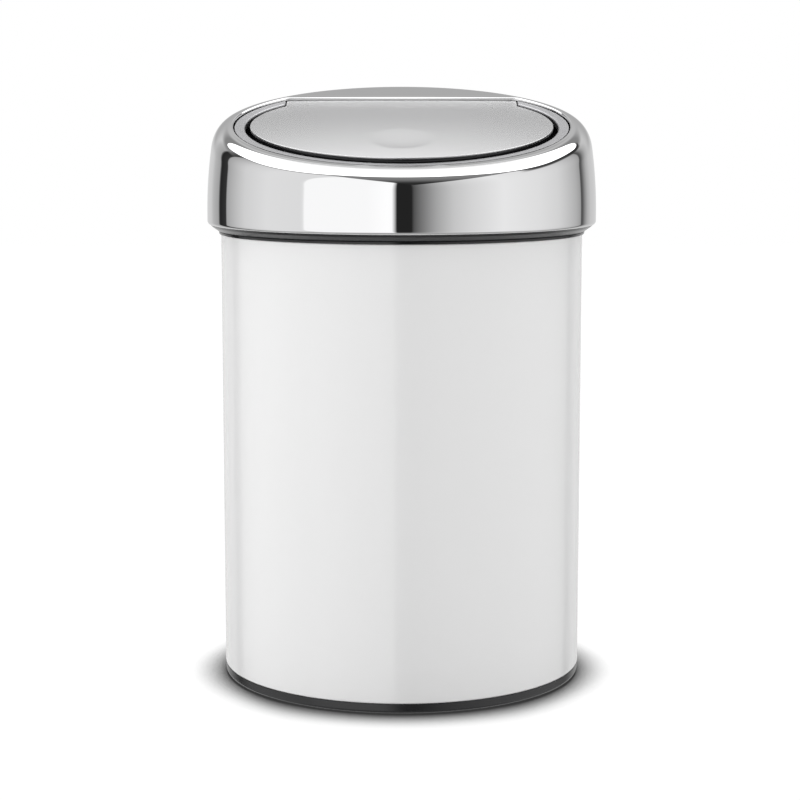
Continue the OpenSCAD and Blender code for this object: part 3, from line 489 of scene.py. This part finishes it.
COVER_LOW, COVER_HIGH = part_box("lid_cover")
COVER_R = COVER_HIGH.x
COVER_SHEET = 0.8 * mm
COVER_LIP = 2.6 * mm
COVER_FOOT_ROUND = 1.8 * mm
WALL_SWEEP = 2.3
BELLY_Z = COVER_LOW.z + 5.3 * mm
CROWN_Z = TUBE_HIGH.z + 51.9 * mm
CROWN_SLOPE = math.tan(math.radians(12.2))
SHOULDER_H = 9 * mm
SHOULDER_FULL = 0.64
SHOULDER_FLAT = 1 * mm
RECESS_R = COVER_R - 12.7 * mm
FLOOR_Z = CROWN_Z - 1.15 * mm
FLOOR_TILT = math.radians(12.2)
FRONT_DIP = 1.1 * mm
DIP_START, DIP_LONG = 20 * mm, 80 * mm
NOSE_R = 1.3 * mm
NOSE_Y = 54.257 * mm
NOSE_BEND = math.radians(58)
LEAST_ROLL = 0.25 * mm
LIP_INSET, LIP_DROP, LIP_BEND = 0.25 * mm, 0.15 * mm, 0.4 * mm
CORNER_BLEND = 1.6 * mm
FOOT_STEPS, WALL_STEPS, SHOULDER_STEPS, DECK_STEPS, NOSE_STEPS = 12, 16, 22, 6, 6
COVER_AROUND = 288
CORNER_STEP, CORNER_REACH = math.radians(0.125), 28
POLISHED = (0.80, 0.80, 0.805)
UNPOLISHED = (0.72, 0.72, 0.725)


def wall_radius(z):
    """Radius of the cover's outside at height z."""
    return COVER_R - WALL_SWEEP * max(z - BELLY_Z, 0) ** 2


def crown(y):
    """Height of the crown at distance y behind the axis."""
    return CROWN_Z + CROWN_SLOPE * y


def deck(y):
    """Height of the cover's top at the recess's edge: in front it dips almost to the recess."""
    ahead = min(max((DIP_START - y) / DIP_LONG, 0), 1)
    return crown(y) - FRONT_DIP * ahead * ahead * (3 - 2 * ahead)


def on_floor(radius, angle):
    """Plan distance of a circle that is drawn on the sloping recess floor."""
    return radius / math.hypot(math.cos(angle), math.sin(angle) / math.cos(FLOOR_TILT))


def recess_edge(angle):
    """Plan distance of the recess's edge: round, and straight in front of the crescent."""
    edge = on_floor(RECESS_R, angle)
    if math.sin(angle) > 0.2:
        straight = NOSE_Y / math.sin(angle)
        share = max(CORNER_BLEND - abs(edge - straight), 0) / CORNER_BLEND
        edge = min(edge, straight) - share * share * CORNER_BLEND / 4
    return edge


def edge_round(angle):
    """Radius of the roll at the recess's edge: as deep as the recess, at most the nose's."""
    y = recess_edge(angle) * math.sin(angle)
    return min(max(deck(y) - FLOOR_Z - math.tan(FLOOR_TILT) * y, LEAST_ROLL), NOSE_R)


def corner_radius(angle):
    """Where the crown's plane would meet the wall, closed in on in a few rounds."""
    radius = COVER_R
    for _ in range(6):
        radius = wall_radius(crown(radius * math.sin(angle)))
    return radius


def shoulder(angle, inset, count):
    """Shoulder curve set in by inset, from the crown down to the wall, as (r, z)."""
    rise = math.sin(angle)
    start_r = on_floor(RECESS_R, angle) + edge_round(angle) + inset * 0.6 + SHOULDER_FLAT
    corner = corner_radius(angle)
    wall_z = crown(corner * rise) - SHOULDER_H
    start = Vector((start_r, deck(start_r * rise) - inset))
    top = Vector((corner - inset, crown(corner * rise) - inset))
    end = Vector((wall_radius(wall_z) - inset, wall_z))
    near, far = start.lerp(top, SHOULDER_FULL), end.lerp(top, SHOULDER_FULL)
    curve = []
    for i in range(count + 1):
        t = i / count
        u = 1 - t
        curve.append(u ** 3 * start + 3 * u * u * t * near + 3 * u * t * t * far + t ** 3 * end)
    return curve


def cover_section(angle):
    """Closed outline (r, z) of the cover's sheet in the upright plane of direction angle."""
    rise = math.sin(angle)
    edge, roll = recess_edge(angle), edge_round(angle)
    low = deck(edge * rise) - max(roll, COVER_SHEET) - LIP_DROP
    outer, under = shoulder(angle, 0, SHOULDER_STEPS), shoulder(angle, COVER_SHEET, 8)
    foot_middle = (COVER_R - COVER_FOOT_ROUND, COVER_LOW.z + COVER_FOOT_ROUND)
    wall_low, wall_high = foot_middle[1], outer[-1].y
    points = arc(foot_middle, COVER_FOOT_ROUND, -90, 0, FOOT_STEPS)
    points += [(wall_radius(z), z) for z in
               (wall_low + (wall_high - wall_low) * k / WALL_STEPS for k in range(1, WALL_STEPS))]
    points += reversed(outer)
    run = outer[0].x - edge - roll
    points += [(r, deck(r * rise)) for r in
               (edge + roll + run * k / DECK_STEPS for k in range(DECK_STEPS - 1, 0, -1))]
    for r, z in arc((edge + roll, -roll), roll, 90, 90 + math.degrees(NOSE_BEND), NOSE_STEPS):
        points.append((r, deck(r * rise) + z))
    back = edge + COVER_SHEET + LIP_BEND
    points += [(edge + LIP_INSET, low), (edge + COVER_SHEET, low)]
    points.append((back, deck(back * rise) - COVER_SHEET))
    points += under
    points += [(wall_radius(z) - COVER_SHEET, z) for z in
               (wall_low + (wall_high - wall_low) * k / 5 for k in range(4, 0, -1))]
    points += arc(foot_middle, COVER_FOOT_ROUND - COVER_SHEET, 0, -90, 4)
    points += [(COVER_R - COVER_LIP, COVER_LOW.z + COVER_SHEET), (COVER_R - COVER_LIP, COVER_LOW.z)]
    return points


# every 1.25 degrees, and ten times as close round the recess's two corners
corner_angle = math.atan2(NOSE_Y, math.sqrt(RECESS_R ** 2 - NOSE_Y ** 2))
directions = sorted(
    {2 * math.pi * i / COVER_AROUND for i in range(COVER_AROUND)}
    | {at + CORNER_STEP * k for at in (corner_angle, math.pi - corner_angle)
       for k in range(-CORNER_REACH, CORNER_REACH + 1) if k % 10})
sections = [cover_section(angle) for angle in directions]
cover = smooth(new_object("polished_cover", *turned(sections, directions)), 50)
cover.data.materials.append(skinned_material(
    "polished_steel", POLISHED, metallic=1, scale=60, height=0.001 * mm, rough=0.015, drift=0.01))
cover.data.materials.append(skinned_material(
    "unpolished_lip", UNPOLISHED, metallic=1, scale=900, height=0.01 * mm, rough=0.45, drift=0.1))

# along the crescent the polishing wheel doesn't reach the roll's last step and the lip's edge
roll_start = (FOOT_STEPS + 1) + (WALL_STEPS - 1) + (SHOULDER_STEPS + 1) + (DECK_STEPS - 1)
lip_start = roll_start + NOSE_STEPS - 1
for i, angle in enumerate(directions):
    if recess_edge(angle) * math.sin(angle) > NOSE_Y - 0.5 * mm:
        for k in range(lip_start, lip_start + 4):
            cover.data.polygons[i * len(sections[0]) + k].material_index = 1
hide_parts("lid_cover")
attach(cover, "lid")

# ---- Flap surround ----
# A ring of satin sheet steel that lies in the cover's recess and is rolled down round the flap.
# It is open at the rear, where the flap's strip reaches the crescent.

OPENING_R = RECESS_R - 5.5 * mm
SURROUND_SHEET = 0.8 * mm
SURROUND_GAP = 0.6 * mm
FRONT_GAP = 0.2 * mm
REAR_GAP = 0.4 * mm
LEAST_SHEET = 0.1 * mm
OPENING_ROLL = 1.0 * mm
OPENING_LIP = 3.0 * mm
LIP_BEND_OUT, LIP_BEND_DOWN = 0.3 * mm, 0.2 * mm
FLAP_TILT = math.radians(11.1)
HINGE_Y = 50.5 * mm
BEND_Y = HINGE_Y / math.cos(FLAP_TILT) - 4.6 * mm
SATIN_RING = (0.42, 0.42, 0.43)


def tilted(points, height, tilt):
    """Points on a plane that slopes up to the rear, moved from flat to their place."""
    sine, cosine = math.sin(tilt), math.cos(tilt)
    return [(x, y * cosine - z * sine, height + y * sine + z * cosine) for x, y, z in points]


rear_edge = NOSE_Y / math.cos(FLOOR_TILT) - REAR_GAP
opening_side = math.sqrt(OPENING_R ** 2 - BEND_Y ** 2)
outer_ring, inner_ring = [], []
for degree in range(90, 450):
    c, s = math.cos(math.radians(degree)), math.sin(math.radians(degree))
    reach = RECESS_R - SURROUND_GAP - FRONT_GAP * max(-s, 0) ** 2
    if s * reach > rear_edge:
        reach = rear_edge / s
    hole = OPENING_R
    if s * hole > BEND_Y:
        hole = opening_side / max(abs(c), 0.001)
    if reach > hole + LEAST_SHEET:
        outer_ring.append(Vector((reach * c, reach * s)))
        inner_ring.append(Vector((hole * c, hole * s)))


def round_opening(distance):
    """The opening's edge moved outward by a distance."""
    return [q + (p - q).normalized() * distance for p, q in zip(outer_ring, inner_ring)]


rings = [[(*p.lerp(q, share), 0) for p, q in zip(outer_ring, round_opening(OPENING_ROLL))]
         for share in (0, 0.1, 0.5, 1)]
for inward, z in arc((0, 0), OPENING_ROLL, 90, 0, 5)[1:]:
    rings.append([(*q, z - OPENING_ROLL) for q in round_opening(OPENING_ROLL - inward)])
for distance, z in ((0, -OPENING_LIP), (SURROUND_SHEET, -OPENING_LIP),
                    (SURROUND_SHEET + LIP_BEND_OUT, -SURROUND_SHEET - LIP_BEND_DOWN)):
    rings.append([(*q, z) for q in round_opening(distance)])
rings.append([(*p, -SURROUND_SHEET) for p in outer_ring])
points = [p for ring_points in rings for p in tilted(ring_points, FLOOR_Z, FLOOR_TILT)]
count = len(outer_ring)
faces = [(a * count + i, b * count + i, b * count + i + 1, a * count + i + 1)
         for a, b in ((k, (k + 1) % len(rings)) for k in range(len(rings))) for i in range(count - 1)]
faces.append([a * count for a in range(len(rings))])
faces.append([a * count + count - 1 for a in reversed(range(len(rings)))])
surround = smooth(new_object("satin_surround", points, faces), 40)
surround.data.materials.append(skinned_material(
    "satin_surround_steel", SATIN_RING, metallic=1, scale=1600, height=0.05 * mm, rough=0.36, drift=0.1))
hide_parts("flap_surround")
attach(surround, "lid")

# ---- Flap ----
# Pressed from satin sheet: slightly domed, with a rounded edge, a skirt, a shallow touch dimple
# and a rear strip that is bent up towards the crescent.

FLAP_Z = FLOOR_Z + 0.45 * mm
FLAP_R = OPENING_R - 2.4 * mm
FLAP_SHEET = 0.8 * mm
FLAP_EDGE = 1 * mm
FLAP_ROUND = 0.3 * mm
EDGE_UNDERCUT = 0.3 * mm
SKIRT_BEND = 0.3 * mm
STRIP_GAP = 0.4 * mm
STRIP_LONG = 6.9 * mm
STRIP_BEND = math.radians(5.4)
STRIP_CORNER = 1.2 * mm
STRIP_BLEND = 4 * mm
BEND_SOFT = 1.2 * mm
DIMPLE_Y = -32 * mm
DIMPLE_R = 15 * mm
DIMPLE_LONG = 21 * mm
DIMPLE_DEEP = 0.6 * mm
DIMPLE_LEAN = 0.6
FLAP_DOME = 0.35 * mm
FLAP_CROWN = math.radians(5.5)
CROWN_Y = 18 * mm
FACE_MIDDLE = Vector((0, -12 * mm))
FACE_RINGS, UNDER_RINGS = 48, 7
SATIN = (0.64, 0.64, 0.645, 1)


def flap_height(x, y):
    """Height of the flap's skin over its plane."""
    rise = FLAP_DOME * (1 - (x * x + y * y) / FLAP_R ** 2)
    away = math.hypot(x / DIMPLE_R, (y - DIMPLE_Y) / DIMPLE_LONG)
    if away < 1:
        rise -= DIMPLE_DEEP * (1 - away * away) * (1 - DIMPLE_LEAN * (y - DIMPLE_Y) / DIMPLE_LONG)
    past = y - BEND_Y
    rise += math.tan(STRIP_BEND) * 0.5 * (past + math.sqrt(past * past + BEND_SOFT ** 2))
    return rise - math.tan(STRIP_BEND) * 0.25 * BEND_SOFT ** 2 / (abs(past) + BEND_SOFT)


# the flap's outline, from its left rear round the front, up the strip's side and back along it
strip_x = opening_side - STRIP_GAP
strip_start = math.sqrt(FLAP_R ** 2 - strip_x ** 2)
strip_end = BEND_Y + STRIP_LONG
side_long = strip_end - STRIP_CORNER - strip_start
low_angle = math.degrees(math.atan2(strip_start, strip_x))
corner = Vector((strip_x - STRIP_CORNER, strip_end - STRIP_CORNER))
outline = arc((0, 0), FLAP_R, 180 - low_angle, 360 + low_angle, 300)
outline += [(strip_x, strip_start + side_long * k / 8) for k in range(1, 8)]
outline += arc(corner, STRIP_CORNER, 0, 90, 6)
outline += [(corner.x * (1 - k / 30), strip_end) for k in range(1, 60)]
outline += arc((-corner.x, corner.y), STRIP_CORNER, 90, 180, 6)
outline += [(-strip_x, strip_start + side_long * k / 8) for k in range(7, 0, -1)]
outline = [Vector(p) for p in outline]
size = len(outline)
inward = []
for i in range(size):
    along = (outline[(i + 1) % size] - outline[i - 1]).normalized()
    inward.append(Vector((-along.y, along.x)))
face_edge = [p + n * FLAP_ROUND for p, n in zip(outline, inward)]


def face_ring(share, drop):
    """Ring of the flat of the flap, from its middle at share 0 to the rounded edge at 1."""
    return [(x, y, flap_height(x, y) - drop) for x, y in
            (FACE_MIDDLE.lerp(p, share) for p in face_edge)]


def edge_ring(offset, drop, strip_offset, strip_drop):
    """Ring of the flap's edge, offset inward and dropped, with its own values on the strip."""
    ring_points = []
    for p, n in zip(outline, inward):
        strip = min(max((p.y - BEND_Y + STRIP_BLEND) / STRIP_BLEND, 0), 1)
        q = p + n * (offset * (1 - strip) + strip_offset * strip)
        low = drop * (1 - strip) + strip_drop * strip
        ring_points.append((q.x, q.y, flap_height(q.x, q.y) - low))
    return ring_points


rings = [face_ring(math.sin(math.pi / 2 * k / FACE_RINGS), 0) for k in range(1, FACE_RINGS)]
for out, z in arc((0, 0), FLAP_ROUND, 90, 0, 6):
    rings.append(edge_ring(FLAP_ROUND - out, FLAP_ROUND - z, FLAP_ROUND - out, FLAP_ROUND - z))
rings.append(edge_ring(EDGE_UNDERCUT, FLAP_EDGE, 0, FLAP_SHEET - 0.1 * mm))
rings.append(edge_ring(FLAP_SHEET, FLAP_EDGE, FLAP_SHEET, FLAP_SHEET))
rings.append(edge_ring(FLAP_SHEET + SKIRT_BEND, FLAP_SHEET, FLAP_SHEET + SKIRT_BEND, FLAP_SHEET))
rings += [face_ring(k / UNDER_RINGS, FLAP_SHEET) for k in range(UNDER_RINGS - 1, 0, -1)]
flat = [p for ring_points in rings for p in ring_points]
top_middle, low_middle = len(flat), len(flat) + 1
middle_height = flap_height(*FACE_MIDDLE)
flat += [(*FACE_MIDDLE, middle_height), (*FACE_MIDDLE, middle_height - FLAP_SHEET)]
faces = [(a * size + i, (a + 1) * size + i, (a + 1) * size + (i + 1) % size, a * size + (i + 1) % size)
         for a in range(len(rings) - 1) for i in range(size)]
faces += [(top_middle, i, (i + 1) % size) for i in range(size)]
last = (len(rings) - 1) * size
faces += [(low_middle, last + (i + 1) % size, last + i) for i in range(size)]
flap = smooth(new_object("satin_flap", tilted(flat, FLAP_Z, FLAP_TILT), faces), 40)

satin, nodes, links, shader = new_material("satin_steel")
shader.inputs["Base Color"].default_value = SATIN
shader.inputs["Metallic"].default_value = 1
grain = add_skin(nodes, links, shader, scale=1400, height=0.001 * mm, rough=0.27, drift=0)
# the pressed sheet crowns a little more than its outline shows
middle = nodes.new("ShaderNodeTexCoord")
flat_place = nodes.new("ShaderNodeVectorMath")
flat_place.operation = "MULTIPLY_ADD"
flat_place.inputs[1].default_value = (1, 1 / math.cos(FLAP_TILT), 0)
flat_place.inputs[2].default_value = (0, -CROWN_Y, 0)
links.new(middle.outputs["Object"], flat_place.inputs[0])
square = nodes.new("ShaderNodeVectorMath")
square.operation = "DOT_PRODUCT"
for socket in square.inputs[:2]:
    links.new(flat_place.outputs[0], socket)
crowned = add_math(nodes, links, "MULTIPLY", square.outputs["Value"],
                   -math.tan(FLAP_CROWN) / 2 / FLAP_R)
crown_bump = nodes.new("ShaderNodeBump")
crown_bump.inputs["Distance"].default_value = 1
links.new(crowned, crown_bump.inputs["Height"])
links.new(crown_bump.outputs[0], grain.inputs["Normal"])
flap.data.materials.append(satin)
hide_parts("flap_cover")
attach(flap, "flap")

# ---- Lid frame and flap liner ----
# Moulded in black plastic. The frame holds the cover, hinge and latch, and its band stands on
# the tube. The liner stiffens the flap with ribs and carries it on the hinge pin. The latch's
# housing and jaws are of the same plastic.

MOULDING_BLACK = (0.007, 0.007, 0.008)

material = skinned_material(
    "black_moulding", MOULDING_BLACK, metallic=0, scale=1500, height=0.006 * mm, rough=0.15, drift=0.06)
dress(material, "lid_frame", "flap_liner", "latch_housing", "latch_jaws")

# ---- Hinge and latch ----
# The pin, its clips and the screws are plain steel. The springs and the latch's follower are wound
# and bent from spring steel, and the slider and striker are moulded in pale acetal.

PLAIN_STEEL = (0.55, 0.55, 0.56)
SPRING_STEEL = (0.36, 0.36, 0.37)
PALE_ACETAL = (0.78, 0.76, 0.68)

material = skinned_material(
    "plain_steel", PLAIN_STEEL, metallic=1, scale=700, height=0.01 * mm, rough=0.28, drift=0.15)
dress(material, "hinge_pin", "pin_clips", "latch_screws", "striker_screw")
material = skinned_material(
    "spring_steel", SPRING_STEEL, metallic=1, scale=900, height=0.01 * mm, rough=0.3, drift=0.15)
dress(material, "hinge_spring", "latch_spring", "cam_follower")
material = skinned_material(
    "pale_acetal", PALE_ACETAL, metallic=0, scale=600, height=0.01 * mm, rough=0.35, drift=0.1)
dress(material, "latch_slider", "striker")
